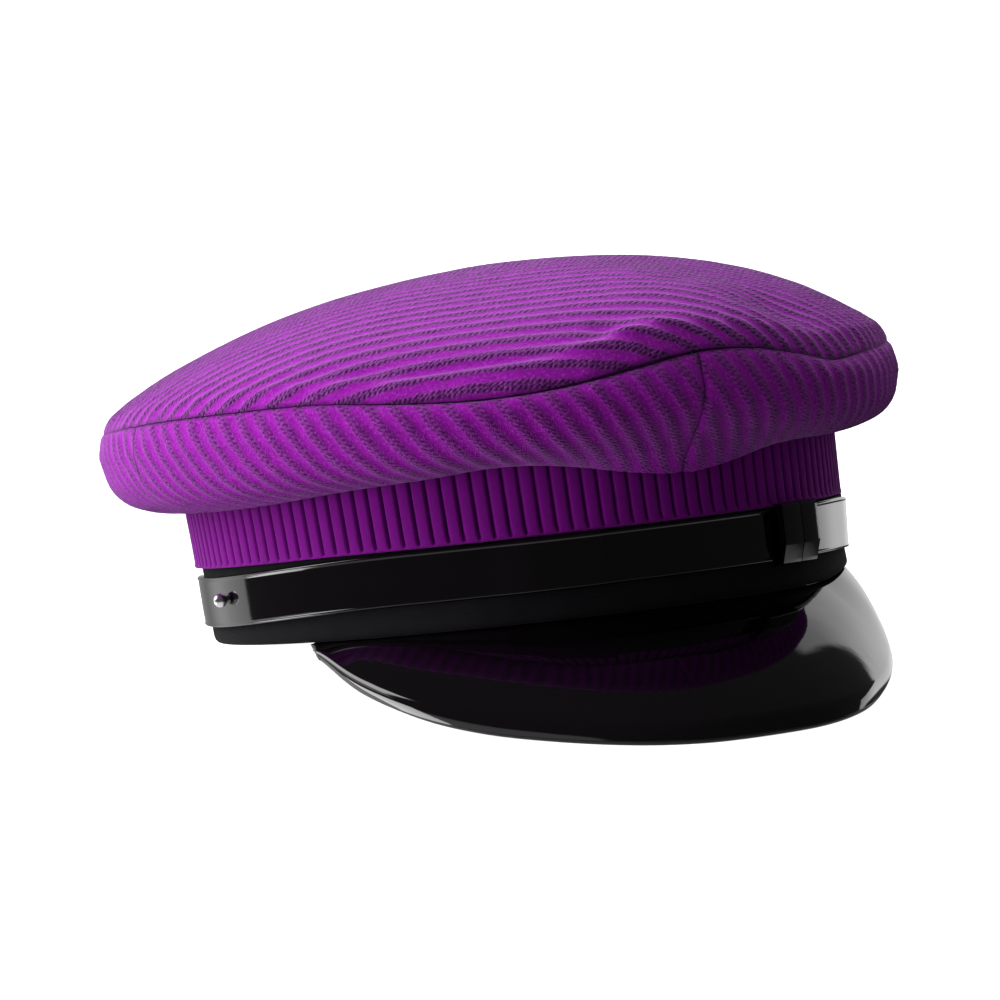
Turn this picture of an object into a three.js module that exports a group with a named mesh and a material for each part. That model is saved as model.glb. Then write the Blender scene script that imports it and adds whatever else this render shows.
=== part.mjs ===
// A peaked knit cap: a full knitted crown on a ribbed knit band, a black woven band with a
// patent-leather strap, and a patent-leather visor. Millimetres, +Z up.
//
// Every piece is drawn in the cap's own frame: the origin is the centre of the black band's lower
// edge, -Y is the front, +X the wearer's left, and +Z stands square to the band. Angles round the
// band are degrees from the front centre, positive towards the wearer's left.
import * as THREE from 'three';

// Driving dimensions
const seamGap = 0.35;
const knitThickness = 2;
const restPitch = 7.85;

const blackBand = { side: 86.9, front: 98.5, height: 22, thickness: 2, roll: 0.8 };
const ribBand = { ribs: 140, depth: 1, wall: 1.9, proud: 2, top: 43, flare: 1.1, setBack: 2 };
const crown = { side: 110.7, front: 124, back: 7.5, fullest: 54.5, summit: 97.5, lean: 4.5, leanTo: 67 };
const strap = { width: 14, thickness: 1.4, lip: 0.4, lipWidth: 0.9, height: 14.8, drop: 2.7, end: 117 };
const stud = { angle: 87.5, above: 1.2, ballRadius: 2.8, neckRadius: 1.3, neckLength: 1.2 };
const keeper = { angle: 26.5, length: 15, inside: 3.3, leather: 1.1, ridge: 1.4, topFoot: 2.5, bottomFoot: 0.5 };
const visor = { end: 68, thickness: 1.8, bulge: 3.2, tuck: 4, columns: 48, rows: 5 };
const binding = { radius: 1.1, gap: 0.3, sides: 6 };

// The crown's edge seam rises and dips round the cap, and so does the line where its side turns
// under, which the front-centre seam pulls down.
const crownEdge = [
  { angle: -180, seam: 62.0, under: 38.0 },
  { angle: -110, seam: 61.8, under: 37.6 },
  { angle: -68, seam: 63.2, under: 37.6 },
  { angle: -50, seam: 62.8, under: 39.3 },
  { angle: -38, seam: 60.6, under: 40.0 },
  { angle: -27, seam: 59.4, under: 40.8 },
  { angle: -16, seam: 60.3, under: 38.8 },
  { angle: -6, seam: 62.8, under: 35.8 },
  { angle: 4, seam: 65.4, under: 34.2 },
  { angle: 12, seam: 65.0, under: 35.4 },
  { angle: 21, seam: 62.4, under: 37.6 },
  { angle: 29, seam: 59.8, under: 38.8 },
  { angle: 38, seam: 60.8, under: 39.2 },
  { angle: 57, seam: 63.2, under: 40.2 },
  { angle: 110, seam: 62.0, under: 38.8 },
  { angle: 180, seam: 62.0, under: 38.0 },
];

// The side panel from the rib band out to the fullest line: how far out, and how high between the
// turned-under line and the fullest line, where it rolls (sides and back) and where it is pulled
// straight (front centre).
const sideProfile = [
  { out: 0.0, roll: 0.05, straight: 0.0 },
  { out: 0.16, roll: 0.0, straight: 0.17 },
  { out: 0.42, roll: 0.06, straight: 0.38 },
  { out: 0.7, roll: 0.22, straight: 0.6 },
  { out: 0.9, roll: 0.52, straight: 0.8 },
  { out: 1.0, roll: 1.0, straight: 1.0 },
];
const seamOut = 0.985;
const frontPull = { angle: 3, spread: 20 };
const panelSeams = { front: 2.6, left: 90, right: -87, back: 180 };

// The top from its sewn edge to the summit: radius, and the share of the rise reached there at the
// sides and back, and at the front, where it stands steeper
const topProfile = [
  { radius: 1.0, sides: 0.0, front: 0.0 },
  { radius: 0.985, sides: 0.09, front: 0.15 },
  { radius: 0.95, sides: 0.2, front: 0.28 },
  { radius: 0.9, sides: 0.31, front: 0.39 },
  { radius: 0.83, sides: 0.44, front: 0.51 },
  { radius: 0.74, sides: 0.57, front: 0.61 },
  { radius: 0.6, sides: 0.73, front: 0.74 },
  { radius: 0.42, sides: 0.87, front: 0.87 },
  { radius: 0.22, sides: 0.955, front: 0.955 },
];
const frontRise = 55;

// Soft folds pressed into the top
const topFolds = [
  { angle: -34, radius: 0.955, wide: 17, deep: 0.03, depth: 1.6 },
  { angle: -2, radius: 0.93, wide: 7, deep: 0.04, depth: 2.4 },
  { angle: 25, radius: 0.9, wide: 6, deep: 0.07, depth: 2.6 },
];

// The visor's outline from the front centre to its end, for one side
const visorOutline = [
  { angle: 0, x: 0, y: -145, z: -32 },
  { angle: 10, x: 17.5, y: -142.2, z: -31.8 },
  { angle: 20, x: 32.8, y: -133.2, z: -30.7 },
  { angle: 30, x: 46.2, y: -118.2, z: -28.7 },
  { angle: 40, x: 60, y: -98.8, z: -25.2 },
  { angle: 50, x: 70.5, y: -79, z: -19.8 },
  { angle: 58, x: 77, y: -60, z: -13 },
  { angle: 66, x: 80.4, y: -43, z: -4.4 },
];

const finish = {
  knit: { color: 0x8a14a8, roughness: 0.85, metalness: 0 },
  rib: { color: 0x7a109a, roughness: 0.85, metalness: 0 },
  felt: { color: 0x0d0c0e, roughness: 0.9, metalness: 0 },
  patent: { color: 0x0b090b, roughness: 0.12, metalness: 0 },
  chrome: { color: 0xd8d8dc, roughness: 0.12, metalness: 1 },
};

const radians = THREE.MathUtils.degToRad;

// A point on an upright oval whose centre lies back from the origin
function ovalPoint(side, front, back, angle, height) {
  const turn = radians(angle);
  return new THREE.Vector3(side * Math.sin(turn), back - front * Math.cos(turn), height);
}

// A value read from a table, eased between its rows
function eased(table, key, value, column) {
  let i = 1;
  while (i < table.length - 1 && value > table[i][key]) i += 1;
  const low = table[i - 1];
  const high = table[i];
  const share = THREE.MathUtils.smoothstep(value, low[key], high[key]);
  return THREE.MathUtils.lerp(low[column], high[column], share);
}

// A value read from a table through a smooth curve without flat spots at its rows
function curved(table, key, value, column) {
  let i = 1;
  while (i < table.length - 1 && value > table[i][key]) i += 1;
  const row = (k) => table[THREE.MathUtils.clamp(k, 0, table.length - 1)];
  const slope = (k) => (row(k + 1)[column] - row(k - 1)[column]) / (row(k + 1)[key] - row(k - 1)[key]);
  const span = row(i)[key] - row(i - 1)[key];
  const t = THREE.MathUtils.clamp((value - row(i - 1)[key]) / span, 0, 1);
  return row(i - 1)[column] * (2 * t ** 3 - 3 * t ** 2 + 1) + slope(i - 1) * span * (t ** 3 - 2 * t ** 2 + t)
    + row(i)[column] * (3 * t ** 2 - 2 * t ** 3) + slope(i) * span * (t ** 3 - t ** 2);
}

// Solids

function solid(points, triangles) {
  const geometry = new THREE.BufferGeometry();
  geometry.setAttribute('position', new THREE.Float32BufferAttribute(points.flatMap((p) => p.toArray()), 3));
  geometry.setIndex(triangles.flat());
  return geometry;
}

// Triangles of a grid of points: rows by columns, closed round or not, its last row one point or not
function gridTriangles(rows, columns, closed, pole) {
  const id = (row, column) => (pole && row === rows - 1 ? row * columns : row * columns + (column % columns));
  const triangles = [];
  for (let row = 0; row < rows - 1; row += 1) {
    for (let column = 0; column < (closed ? columns : columns - 1); column += 1) {
      const corner = [id(row, column), id(row, column + 1), id(row + 1, column + 1), id(row + 1, column)];
      triangles.push([corner[0], corner[1], corner[2]]);
      if (corner[2] !== corner[3]) triangles.push([corner[0], corner[2], corner[3]]);
    }
  }
  return triangles;
}

// A wall of even thickness behind a face, with a rim along each open edge of the face. The rim at
// a seam is level, so that it meets the next piece's rim squarely.
function wall(points, triangles, thickness, atSeam = () => false) {
  const normals = points.map(() => new THREE.Vector3());
  const edges = new Map();
  for (const [a, b, c] of triangles) {
    const face = new THREE.Vector3().subVectors(points[b], points[a]);
    face.cross(new THREE.Vector3().subVectors(points[c], points[a]));
    for (const [from, to] of [[a, b], [b, c], [c, a]]) {
      normals[from].add(face);
      if (!edges.delete(`${to} ${from}`)) edges.set(`${from} ${to}`, [from, to]);
    }
  }
  const inner = points.map((point, i) => {
    if (atSeam(i)) normals[i].z = 0;
    return point.clone().addScaledVector(normals[i].normalize(), -thickness);
  });
  const count = points.length;
  const all = [...triangles];
  for (const [a, b, c] of triangles) all.push([a + count, c + count, b + count]);
  for (const [from, to] of edges.values()) {
    all.push([to, from, from + count], [to, from + count, to + count]);
  }
  return solid([...points, ...inner], all);
}

// A solid whose section, a ring of points, is carried through stations
function sweep(sections, closed) {
  const size = sections[0].length;
  const points = sections.flat();
  const triangles = gridTriangles(sections.length + (closed ? 1 : 0), size, true, false)
    .map((corners) => corners.map((corner) => corner % points.length));
  if (!closed) {
    const flat = sectionOutline(sections[0]);
    for (const [a, b, c] of THREE.ShapeUtils.triangulateShape(flat, [])) {
      const last = points.length - size;
      triangles.push([a, c, b], [last + a, last + b, last + c]);
    }
  }
  return facingOut(solid(points, triangles));
}

// A section's points in its own plane
function sectionOutline(section) {
  const along = new THREE.Vector3().subVectors(section[1], section[0]).normalize();
  const normal = new THREE.Vector3();
  for (let i = 1; i < section.length - 1; i += 1) {
    const edge = new THREE.Vector3().subVectors(section[i], section[0]);
    normal.add(edge.cross(new THREE.Vector3().subVectors(section[i + 1], section[0])));
  }
  const across = new THREE.Vector3().crossVectors(normal.normalize(), along);
  return section.map((point) => new THREE.Vector2(point.dot(along), point.dot(across)));
}

// The same solid with its faces turned to point outwards
function facingOut(geometry) {
  const place = geometry.getAttribute('position');
  const index = geometry.getIndex().array;
  const corner = [0, 1, 2].map(() => new THREE.Vector3());
  let volume = 0;
  for (let i = 0; i < index.length; i += 3) {
    corner.forEach((point, k) => point.fromBufferAttribute(place, index[i + k]));
    volume += corner[0].dot(corner[1].cross(corner[2]));
  }
  if (volume < 0) {
    for (let i = 0; i < index.length; i += 3) [index[i], index[i + 1]] = [index[i + 1], index[i]];
  }
  return geometry;
}

// A point off the black band's outer face: so far out and so high, at an angle
function bandPoint(angle, out, height) {
  return ovalPoint(blackBand.side + out, blackBand.front + out, 0, angle, height);
}

const angles = (from, to, steps) => Array.from({ length: steps + 1 }, (_, i) => from + ((to - from) * i) / steps);

// Crown

// How far the side panel is pulled straight, from 0 where it rolls under to 1 at the front centre
const straightness = (angle) => Math.exp(-(((angle - frontPull.angle) / frontPull.spread) ** 2));

// The crown's fullest line, at a share of its size
function crownPoint(angle, share, height) {
  return ovalPoint(crown.side * share, crown.front * share, crown.back, angle, height);
}

// A point off the rib band's outer face, which widens and leans back towards its upper edge
function ribPoint(angle, out, height) {
  const rise = (height - blackBand.height) / (ribBand.top - blackBand.height);
  const reach = ribBand.proud + ribBand.flare * rise + out;
  return ovalPoint(blackBand.side + reach, blackBand.front + reach, ribBand.setBack * rise, angle, height);
}

// The top and the side panels share these angles along their seam
const crownColumns = [...new Set([...angles(-180, 175, 71), ...Object.values(panelSeams)])]
  .filter((angle) => angle < 180)
  .sort((a, b) => a - b);

function sidePoint(angle, row) {
  const pull = straightness(angle);
  const under = eased(crownEdge, 'angle', angle, 'under');
  const height = THREE.MathUtils.lerp(under, crown.fullest, THREE.MathUtils.lerp(row.roll, row.straight, pull));
  const clear = seamGap + 0.75 * knitThickness * (0.2 + 0.8 * pull);
  return ribPoint(angle, clear, height).lerp(crownPoint(angle, 1, height), row.out);
}

function sidePanel(from, to) {
  const between = crownColumns.filter((angle) => angle > from + 1 && angle < to - 1);
  const columns = [from, ...between, to];
  const edge = seamGap / 2 / crown.side * THREE.MathUtils.RAD2DEG;
  columns[0] += edge;
  columns[columns.length - 1] -= edge;
  const points = [];
  for (const row of sideProfile) points.push(...columns.map((angle) => sidePoint(angle, row)));
  points.push(...columns.map((angle) => {
    const seam = eased(crownEdge, 'angle', angle, 'seam') - seamGap / 2;
    return crownPoint(angle, seamOut, seam);
  }));
  const triangles = gridTriangles(sideProfile.length + 1, columns.length, false, false);
  return wall(points, triangles, knitThickness, (i) => i >= points.length - columns.length);
}

function topHeight(angle, radius) {
  const seam = eased(crownEdge, 'angle', angle, 'seam') + seamGap / 2;
  const outward = [{ radius: 0, sides: 1, front: 1 }, ...[...topProfile].reverse()];
  const steep = Math.exp(-((angle / frontRise) ** 2));
  const rise = THREE.MathUtils.lerp(
    curved(outward, 'radius', radius, 'sides'),
    curved(outward, 'radius', radius, 'front'),
    steep,
  );
  const lean = crown.lean * radius * (1 - radius ** 2) * Math.cos(radians(angle - crown.leanTo));
  let height = THREE.MathUtils.lerp(seam, crown.summit, rise) + lean;
  for (const fold of topFolds) {
    const across = (angle - fold.angle) / fold.wide;
    const along = (radius - fold.radius) / fold.deep;
    height -= fold.depth * Math.exp(-(across ** 2) - along ** 2);
  }
  return height;
}

function crownTop() {
  const points = [];
  for (const { radius } of [...topProfile, { radius: 0 }]) {
    points.push(...crownColumns.map((angle) => crownPoint(angle, seamOut * radius, topHeight(angle, radius))));
  }
  const triangles = gridTriangles(topProfile.length + 1, crownColumns.length, true, true);
  return wall(points, triangles, knitThickness, (i) => i < crownColumns.length);
}

// Bands

// Each rib is a flat-topped ridge, and the outline runs round all of them
function ribs() {
  const pitch = 360 / ribBand.ribs;
  const bottom = blackBand.height + seamGap;
  const profile = [{ place: 0, out: -ribBand.depth }, { place: 0.28, out: 0 }, { place: 0.72, out: 0 }];
  const outline = [];
  for (let i = 0; i < ribBand.ribs; i += 1) {
    outline.push(...profile.map(({ place, out }) => ({ angle: (i + place) * pitch, out })));
  }
  const inner = angles(0, 360, ribBand.ribs / 2).slice(0, -1)
    .map((angle) => ({ angle, out: -ribBand.depth - ribBand.wall }));
  const section = (places, height) => places.map(({ angle, out }) => ribPoint(angle, out, height));
  const flat = (places) => section(places, bottom).map((point) => new THREE.Vector2(point.x, point.y));
  const ends = THREE.ShapeUtils.triangulateShape(flat(outline), [flat(inner).reverse()]);

  const lower = [...section(outline, bottom), ...section(inner, bottom).reverse()];
  const upper = [...section(outline, ribBand.top), ...section(inner, ribBand.top).reverse()];
  const count = lower.length;
  const triangles = ends.flatMap(([a, b, c]) => [[a, c, b], [a + count, b + count, c + count]]);
  for (const [start, length] of [[0, outline.length], [outline.length, inner.length]]) {
    for (let i = 0; i < length; i += 1) {
      const here = start + i;
      const next = start + ((i + 1) % length);
      triangles.push([here, next, next + count], [here, next + count, here + count]);
    }
  }
  return facingOut(solid([...lower, ...upper], triangles));
}

function wovenBand() {
  const outline = [
    { out: -blackBand.thickness, height: 0 },
    { out: -blackBand.roll, height: 0 },
    { out: 0, height: 2.2 },
    { out: 0, height: blackBand.height },
    { out: -blackBand.thickness, height: blackBand.height },
  ];
  const sections = angles(0, 360, 72).slice(0, -1)
    .map((angle) => outline.map(({ out, height }) => bandPoint(angle, out, height)));
  return sweep(sections, true);
}

// Strap

// The strap's middle line, which dips towards the studs
const strapHeight = (angle) => strap.height - strap.drop * THREE.MathUtils.smoothstep(Math.abs(angle), 45, 100);

// A length of strap with a raised lip along both edges, lifted off the band by so much at an angle
function strapLength(from, to, lift) {
  const half = strap.width / 2;
  const { thickness, lip, lipWidth } = strap;
  const outline = [[0, -half], [thickness, -half], [thickness + lip, lipWidth - half], [thickness, 2 * lipWidth - half],
    [thickness, half - 2 * lipWidth], [thickness + lip, half - lipWidth], [thickness, half], [0, half]];
  const sections = angles(from, to, Math.round((to - from) / 4.5)).map((angle) => (
    outline.map(([out, up]) => bandPoint(angle, seamGap + lift(angle) + out, strapHeight(angle) + up))));
  return sweep(sections, false);
}

const overlap = { end: -13, hidden: -23, ramp: -33 };
const overlapLift = strap.thickness + strap.lip + seamGap;

const upperLift = (angle) => overlapLift * THREE.MathUtils.smoothstep(angle, overlap.ramp, overlap.hidden - 1);

// The keeper: a loop over the strap, open towards the band, with two rounded ridges across it. Its
// lower foot reaches the black band, and its upper foot stands in front of the ribs' hem.
function keeperLoop() {
  const turn = keeper.length / blackBand.side * THREE.MathUtils.RAD2DEG;
  const { inside, leather, topFoot, bottomFoot } = keeper;
  const inner = strap.width / 2 + seamGap;
  const outer = inner + 0.8 * leather;
  const sections = angles(-0.5, 0.5, 16).map((place) => {
    const angle = keeper.angle + place * turn;
    const outside = inside + leather + keeper.ridge * Math.abs(Math.sin(place * 2 * Math.PI)) ** 0.6;
    const shoulder = outside - 0.8;
    return [
      [bottomFoot, -outer], [shoulder, -outer], [outside, -inner], [outside, inner], [shoulder, outer],
      [topFoot, outer], [topFoot, inner], [inside, inner], [inside, -inner], [bottomFoot, -inner],
    ].map(([out, up]) => bandPoint(angle, out, strapHeight(angle) + up));
  });
  return sweep(sections, false);
}

// A ball on a short neck, turned about its own axis
function studMesh(name, angle) {
  const { ballRadius, neckRadius, neckLength } = stud;
  const joint = Math.asin(neckRadius / ballRadius);
  const ballCentre = neckLength + ballRadius * Math.cos(joint);
  const profile = [new THREE.Vector2(0, 0), new THREE.Vector2(neckRadius, 0)];
  for (const turn of angles(Math.PI - joint, 0, 7)) {
    profile.push(new THREE.Vector2(ballRadius * Math.sin(turn), ballCentre + ballRadius * Math.cos(turn)));
  }
  profile[profile.length - 1].x = 0;
  const geometry = new THREE.LatheGeometry(profile, 12);
  const mesh = piece(name, geometry, finish.chrome);
  const seat = bandPoint(angle, 2 * seamGap + strap.thickness, strapHeight(angle) + stud.above);
  mesh.position.copy(seat);
  const outward = new THREE.Vector3(seat.x / blackBand.side ** 2, seat.y / blackBand.front ** 2, 0).normalize();
  mesh.quaternion.setFromUnitVectors(new THREE.Vector3(0, 1, 0), outward);
  return mesh;
}

// Visor

// The visor's root, close to the band's lower edge
function visorRoot(side, out, height) {
  return bandPoint(side * visor.end, out, 0).setZ(height);
}

// The visor's outline at a share of the way from the front centre to one end, with the directions
// into the leather and square to it
function visorRim(side) {
  const outline = (share) => new THREE.Vector3(
    curved(visorOutline, 'angle', Math.abs(share) * visor.end, 'x') * Math.sign(share),
    curved(visorOutline, 'angle', Math.abs(share) * visor.end, 'y'),
    curved(visorOutline, 'angle', Math.abs(share) * visor.end, 'z'),
  );
  const edge = outline(side);
  const along = outline(Math.min(side + 0.01, 1)).sub(outline(Math.max(side - 0.01, -1))).normalize();
  const inward = visorRoot(side, 0, 0).sub(edge);
  inward.addScaledVector(along, -inward.dot(along)).normalize();
  const up = new THREE.Vector3().crossVectors(along, inward).normalize();
  return { edge, inward, up };
}

// A point of the visor's upper face, from the band to where the binding covers its edge
function visorPoint(side, across) {
  const { edge, inward } = visorRim(side);
  const root = visorRoot(side, -blackBand.roll, -seamGap - 0.1);
  const outward = new THREE.Vector3(root.x, 0.6 * root.y, 70).normalize();
  const bulge = visor.bulge * Math.sin(Math.PI * across) * (1 - Math.abs(side) ** 5);
  return root.lerp(edge.addScaledVector(inward, 2 * binding.radius + binding.gap), across)
    .addScaledVector(outward, bulge);
}

// The visor's upper edge is tucked up inside the band, where it is sewn
function visorShell() {
  const inside = -blackBand.thickness - seamGap;
  const columns = angles(-1, 1, visor.columns);
  const points = columns.map((side) => visorRoot(side, inside, visor.tuck));
  points.push(...columns.map((side) => visorRoot(side, inside, -seamGap)));
  for (const across of angles(0, 1, visor.rows)) {
    points.push(...columns.map((side) => visorPoint(side, across)));
  }
  const triangles = gridTriangles(visor.rows + 3, columns.length, false, false)
    .map(([a, b, c]) => [a, c, b]);
  return wall(points, triangles, visor.thickness);
}

function visorBinding() {
  const turns = angles(0, 360, binding.sides).slice(0, -1).map((turn) => radians(turn + 180 / binding.sides));
  const sections = angles(-1, 1, visor.columns).map((side) => {
    const { edge, inward, up } = visorRim(side);
    const centre = edge.addScaledVector(inward, binding.radius).addScaledVector(up, -visor.thickness / 2);
    return turns.map((turn) => centre.clone()
      .addScaledVector(inward, binding.radius * Math.cos(turn))
      .addScaledVector(up, binding.radius * Math.sin(turn)));
  });
  return sweep(sections, false);
}

// Assembly

function piece(name, geometry, look) {
  const mesh = new THREE.Mesh(geometry, new THREE.MeshStandardMaterial(look));
  mesh.name = name;
  return mesh;
}

const { front, left, right, back } = panelSeams;
const cap = new THREE.Group();
cap.add(
  piece('crown_top', crownTop(), finish.knit),
  piece('crown_side_front_left', sidePanel(front, left), finish.knit),
  piece('crown_side_front_right', sidePanel(right, front), finish.knit),
  piece('crown_side_back_left', sidePanel(left, back), finish.knit),
  piece('crown_side_back_right', sidePanel(back - 360, right), finish.knit),
  piece('rib_band', ribs(), finish.rib),
  piece('black_band', wovenBand(), finish.felt),
  piece('strap_upper', strapLength(-strap.end, overlap.end, upperLift), finish.patent),
  piece('strap_lower', strapLength(overlap.hidden, strap.end, () => 0), finish.patent),
  piece('keeper', keeperLoop(), finish.patent),
  studMesh('stud_right', -stud.angle),
  studMesh('stud_left', stud.angle),
  piece('visor', visorShell(), finish.patent),
  piece('visor_binding', visorBinding(), finish.patent),
);

// The cap rests on the back of its band and the front of its visor, with the front raised, and its
// footprint is centred on the origin.
cap.rotation.x = -radians(restPitch);
const footprint = new THREE.Box3().setFromObject(cap, true);
cap.position.set(-(footprint.min.x + footprint.max.x) / 2, -(footprint.min.y + footprint.max.y) / 2, -footprint.min.z);

const group = new THREE.Group();
group.add(cap);
export default group;
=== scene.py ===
"""A peaked knit cap: a stuffed knitted crown on a ribbed band, with a patent-leather strap and peak."""
import math

import bmesh
import bpy
import numpy as np
from mathutils import Matrix, Vector


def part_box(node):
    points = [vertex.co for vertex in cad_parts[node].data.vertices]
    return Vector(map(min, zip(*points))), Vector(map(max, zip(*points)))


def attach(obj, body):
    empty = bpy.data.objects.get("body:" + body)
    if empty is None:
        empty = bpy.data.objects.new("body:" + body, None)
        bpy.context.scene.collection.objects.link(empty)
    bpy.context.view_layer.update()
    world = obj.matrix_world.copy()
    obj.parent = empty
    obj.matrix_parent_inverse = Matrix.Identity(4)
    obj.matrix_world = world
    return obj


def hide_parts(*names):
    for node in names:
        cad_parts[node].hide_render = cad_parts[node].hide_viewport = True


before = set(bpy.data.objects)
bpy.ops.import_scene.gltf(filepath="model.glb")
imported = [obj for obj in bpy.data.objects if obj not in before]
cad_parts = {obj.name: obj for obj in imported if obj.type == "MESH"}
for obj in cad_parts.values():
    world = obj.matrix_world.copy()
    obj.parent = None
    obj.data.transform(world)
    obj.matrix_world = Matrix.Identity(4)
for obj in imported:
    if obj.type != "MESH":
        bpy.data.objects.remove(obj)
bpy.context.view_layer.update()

# How the cap stands
# By itself it rests on the back of its band and the front edge of its peak, with its front raised.
# Every piece is drawn square to the band, in millimetres from the centre of the band's lower edge,
# with -Y the front and +X the wearer's left, and is then set down on the floor by one turn.
rest_pitch = math.radians(7.85)
band = {"side": 86.9, "front": 98.5, "height": 22.0, "thickness": 2.0, "roll": 0.8, "roll_height": 2.2}
band_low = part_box("black_band")[0]
turn_down = Matrix.Rotation(-rest_pitch, 4, "X")
front_top = turn_down @ Vector((0, -band["front"], band["roll_height"])) / 1000
back_edge = turn_down @ Vector((0, band["front"] - band["roll"], 0)) / 1000
stand = Matrix.Translation((0, band_low.y - front_top.y, band_low.z - back_edge.z)) @ turn_down

# The black band
# A band of stiff black grosgrain, two millimetres thick, goes round the head opening. Its lower
# edge is turned, and the ribbed knit is sewn to its upper edge. It opens upwards by its flare.
band_flare = 1.2
drawn_edge = {"up": 2.3, "out": 0.7, "height": 6.5, "angles": (38, 60, 75, 100)}
band_outer = [(0, 22.0), (0, 21.0), (0, 14), (0, 7), (0, 2.8), (-0.08, 1.8), (-0.3, 0.9), (-0.8, 0.25),
              (-1.3, 0.0)]
band_inner = [(-1.7, 0.1), (-2.0, 0.5), (-2.0, 7), (-2.0, 14), (-2.0, 22.0)]
band_angles = np.linspace(0, 360, 361)[:-1]
outline = np.array(band_outer + band_inner)


def oval(side, front, angle, height, back=0.0):
    """Points on a level oval: its half widths, its middle set back, and degrees from the front."""
    turn = np.radians(angle)
    return np.stack(np.broadcast_arrays(side * np.sin(turn), back - front * np.cos(turn), height), -1)


def smooth(start, end, value):
    """An eased step from 0 at the start to 1 at the end."""
    share = np.clip((value - start) / (end - start), 0, 1)
    return share * share * (3 - 2 * share)


def swept(name, sections, closed, cloth=None, inner_from=None, attributes=None):
    """A solid through sections, each a ring of points, with its own cloth coordinates as a UV map.
    Faces from one point of the ring onwards take the second material."""
    stations, size = sections.shape[:2]
    points = sections.reshape(-1, 3)
    station = np.arange(stations if closed else stations - 1)[:, None]
    place = np.arange(size)[None, :]
    after, beside = (station + 1) % stations, (place + 1) % size
    corners = np.stack([station * size + place, station * size + beside,
                        after * size + beside, after * size + place], -1).reshape(-1, 4)
    mesh = bpy.data.meshes.new(name)
    faces = corners.tolist()
    if not closed:
        faces += [list(range(size))[::-1], list(range((stations - 1) * size, stations * size))]
    mesh.from_pydata(points.tolist(), [], faces)
    if cloth is not None:
        layer = mesh.uv_layers.new(name="cloth")
        loops = np.zeros(len(mesh.loops), np.int32)
        mesh.loops.foreach_get("vertex_index", loops)
        layer.data.foreach_set("uv", cloth.reshape(-1, 2)[loops].astype(np.float32).ravel())
    for key, values in (attributes or {}).items():
        mesh.attributes.new(key, "FLOAT", "POINT").data.foreach_set(
            "value", np.broadcast_to(values, sections.shape[:2]).astype(np.float32).ravel())
    if inner_from is not None:
        inner = np.broadcast_to(place >= inner_from, corners.reshape(-1, size, 4).shape[:2]).ravel()
        slots = np.zeros(len(mesh.polygons), np.int32)
        slots[:len(inner)] = inner
        mesh.polygons.foreach_set("material_index", slots)
    shape = bmesh.new()
    shape.from_mesh(mesh)
    bmesh.ops.remove_doubles(shape, verts=shape.verts, dist=1e-3)
    bmesh.ops.dissolve_degenerate(shape, edges=shape.edges, dist=1e-4)
    bmesh.ops.recalc_face_normals(shape, faces=shape.faces)
    shape.to_mesh(mesh)
    shape.free()
    return mesh


def piece(name, mesh, slot, *nodes, materials=(), smooth_angle=40):
    """A mesh in the cap's own millimetres, set down in its place and riding on the cap."""
    mesh.transform(stand @ Matrix.Scale(0.001, 4))
    mesh.shade_smooth()
    mesh.set_sharp_from_angle(angle=math.radians(smooth_angle))
    made = bpy.data.objects.new(name, mesh)
    bpy.context.scene.collection.objects.link(made)
    for material in materials:
        mesh.materials.append(material)
    if nodes:
        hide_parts(*nodes)
    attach(made, "root")
    return made


class Flow:
    """A socket of a node tree, so that a pattern is written as sums and products of sockets."""

    def __init__(self, tree, socket=None):
        self.tree, self.socket = tree, socket

    def node(self, kind, settings=None, inputs=None, output=0):
        made = self.tree.nodes.new(kind)
        for key, value in (settings or {}).items():
            if key == "stops":
                for stop, (position, color) in zip(made.color_ramp.elements, value):
                    stop.position, stop.color = position, color
            else:
                setattr(made, key, value)
        for key, value in (inputs or {}).items():
            if isinstance(value, Flow):
                self.tree.links.new(value.socket, made.inputs[key])
            else:
                made.inputs[key].default_value = value
        return Flow(self.tree, made.outputs[output])

    def maths(self, operation, *values):
        return self.node("ShaderNodeMath", {"operation": operation}, dict(enumerate(values)))

    def part(self, axis):
        return self.node("ShaderNodeSeparateXYZ", {}, {0: self}, axis)

    def mixed(self, first, second):
        return self.node("ShaderNodeMix", {"data_type": "RGBA"}, {0: self, 6: first, 7: second}, 2)

    def step(self, start, end):
        return self.node("ShaderNodeMapRange", {"interpolation_type": "SMOOTHSTEP"},
                         {0: self, 1: start, 2: end})

    def __add__(self, other): return self.maths("ADD", self, other)
    def __radd__(self, other): return self.maths("ADD", other, self)
    def __sub__(self, other): return self.maths("SUBTRACT", self, other)
    def __rsub__(self, other): return self.maths("SUBTRACT", other, self)
    def __mul__(self, other): return self.maths("MULTIPLY", self, other)
    def __rmul__(self, other): return self.maths("MULTIPLY", other, self)
    def __truediv__(self, other): return self.maths("DIVIDE", self, other)
    def __neg__(self): return self.maths("MULTIPLY", self, -1.0)
    def __abs__(self): return self.maths("ABSOLUTE", self)
    def __pow__(self, other): return self.maths("POWER", self, other)


def finish_of(name, constants):
    """A new material with its constant shader values set, and the flow that patterns start from."""
    material = bpy.data.materials.new(name)
    material.use_nodes = True
    shader = material.node_tree.nodes["Principled BSDF"]
    for key, value in constants.items():
        shader.inputs[key].default_value = value
    return material, shader, Flow(material.node_tree)


def feed(shader, **sockets):
    """Links flows to a shader's sockets."""
    for key, value in sockets.items():
        value.tree.links.new(value.socket, shader.inputs[key.replace("_", " ")])


def wrapped(angle):
    """The same direction as up to half a turn each way."""
    return (np.asarray(angle) + 180) % 360 - 180


def from_front(angle):
    """Degrees away from the front, up to half a turn."""
    return np.abs(wrapped(angle))


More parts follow.
